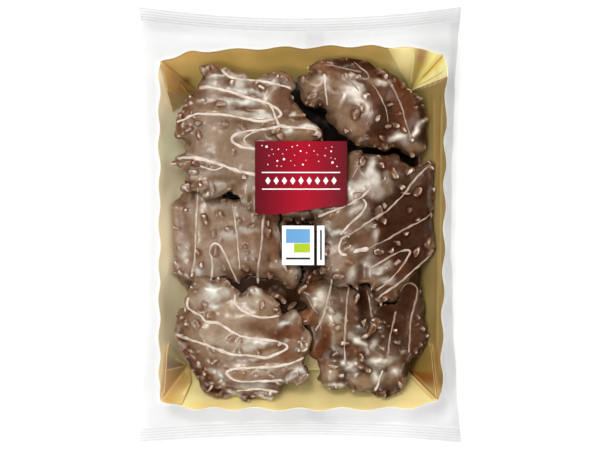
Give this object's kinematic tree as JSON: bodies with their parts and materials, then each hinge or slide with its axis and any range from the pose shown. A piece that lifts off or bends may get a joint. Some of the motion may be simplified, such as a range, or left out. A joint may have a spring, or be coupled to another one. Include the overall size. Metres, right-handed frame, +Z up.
{
  "type": "chocolate-coated gingerbread pack",
  "caption": "Sealed clear film pack of chocolate-coated gingerbread pieces in a shallow gold card tray, crimped flat at both ends, lying flat.",
  "frame": {"origin": "on the surface the pack lies on, under the middle of its outline", "axes": "+Y along the tube of film towards the end at the top of the picture, +X across the pack, +Z up through the window side"},
  "size_m": [0.1774, 0.2404, 0.033],
  "materials": {
    "clear_film": "thin clear film, glossy, crimped at the ends",
    "gold_card": "metallic gold laminate, satin",
    "chocolate": "milk chocolate coating, soft sheen",
    "nut_pieces": "chopped nuts under a thin chocolate coat",
    "pale_drizzle": "thin set strands of pale chocolate",
    "printed_film": "plain coloured label fields, satin"
  },
  "bodies": {
    "root": {"pack": "clear_film"}
  },
  "joints": []
}
